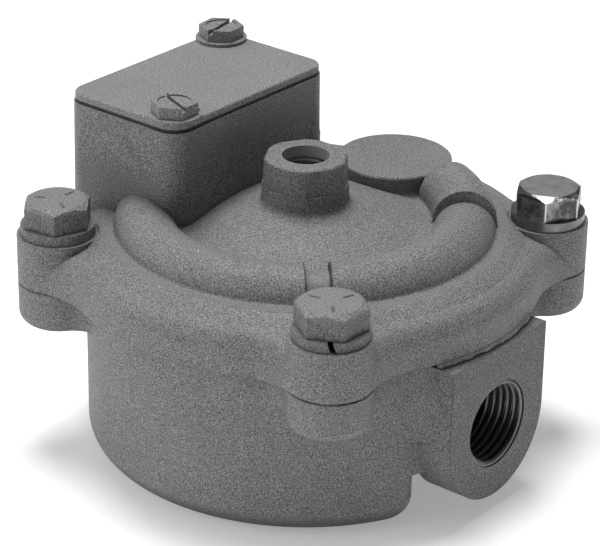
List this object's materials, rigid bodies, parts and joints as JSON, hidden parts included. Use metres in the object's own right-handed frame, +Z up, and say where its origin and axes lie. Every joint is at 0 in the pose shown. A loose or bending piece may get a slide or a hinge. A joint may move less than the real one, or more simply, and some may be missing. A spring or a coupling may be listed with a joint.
{
  "type": "automatic drain valve",
  "caption": "Heated automatic drain valve: round sump with threaded inlet, lugged cover with heater ring, piston-operated poppet and junction box.",
  "frame": {"origin": "centre of the exhaust port's mouth in the sump's flat underside, on the valve axis", "axes": "+Z up the valve axis through the control port, +X out of the inlet port"},
  "size_m": [0.1119, 0.1108, 0.0848],
  "materials": {
    "painted_casting": "semi-gloss grey paint over sand-cast aluminium",
    "painted_steel": "same grey paint over steel fasteners",
    "zinc_plate": "bright zinc plate",
    "black_rubber": "smooth nitrile rubber",
    "fibre_gasket": "dark sheet gasket",
    "machined_aluminium": "turned",
    "turned_brass": "turned",
    "stainless": "drawn stainless steel",
    "phenolic": "moulded black phenolic"
  },
  "bodies": {
    "housing": {"sump_body": "painted_casting", "cover": "painted_casting", "cover_bolts": "painted_steel", "cover_bolt_plated": "zinc_plate", "bolt_lock_washers": "painted_steel", "lock_washer_plated": "zinc_plate", "body_oring": "black_rubber", "box_cover_plate": "painted_casting", "box_gasket": "fibre_gasket", "plate_screws": "painted_steel", "plate_lock_washers": "painted_steel", "stem_oring": "black_rubber", "guide_bushing": "turned_brass", "return_spring": "stainless", "inlet_seat": "turned_brass", "exhaust_seat": "turned_brass", "heater_element": "stainless", "thermostat": "stainless", "thermostat_retainer": "stainless", "terminal_block": "phenolic", "terminal_screws": "zinc_plate", "ground_screw": "zinc_plate"},
    "valve_stem": {"stem": "stainless", "piston": "machined_aluminium", "piston_seal": "black_rubber", "piston_washer": "zinc_plate", "piston_nut": "zinc_plate", "valve_head": "turned_brass", "inlet_seal": "black_rubber", "exhaust_seal": "black_rubber", "stem_screw": "zinc_plate"}
  },
  "joints": [
    {"name": "stem_slide", "type": "slide", "parent": "housing", "child": "valve_stem", "axis": [0, 0, -1], "range_m": [0, 0.003], "stiffness_N_per_m": 2000, "springref_m": -0.01, "deforming": ["return_spring"]}
  ]
}
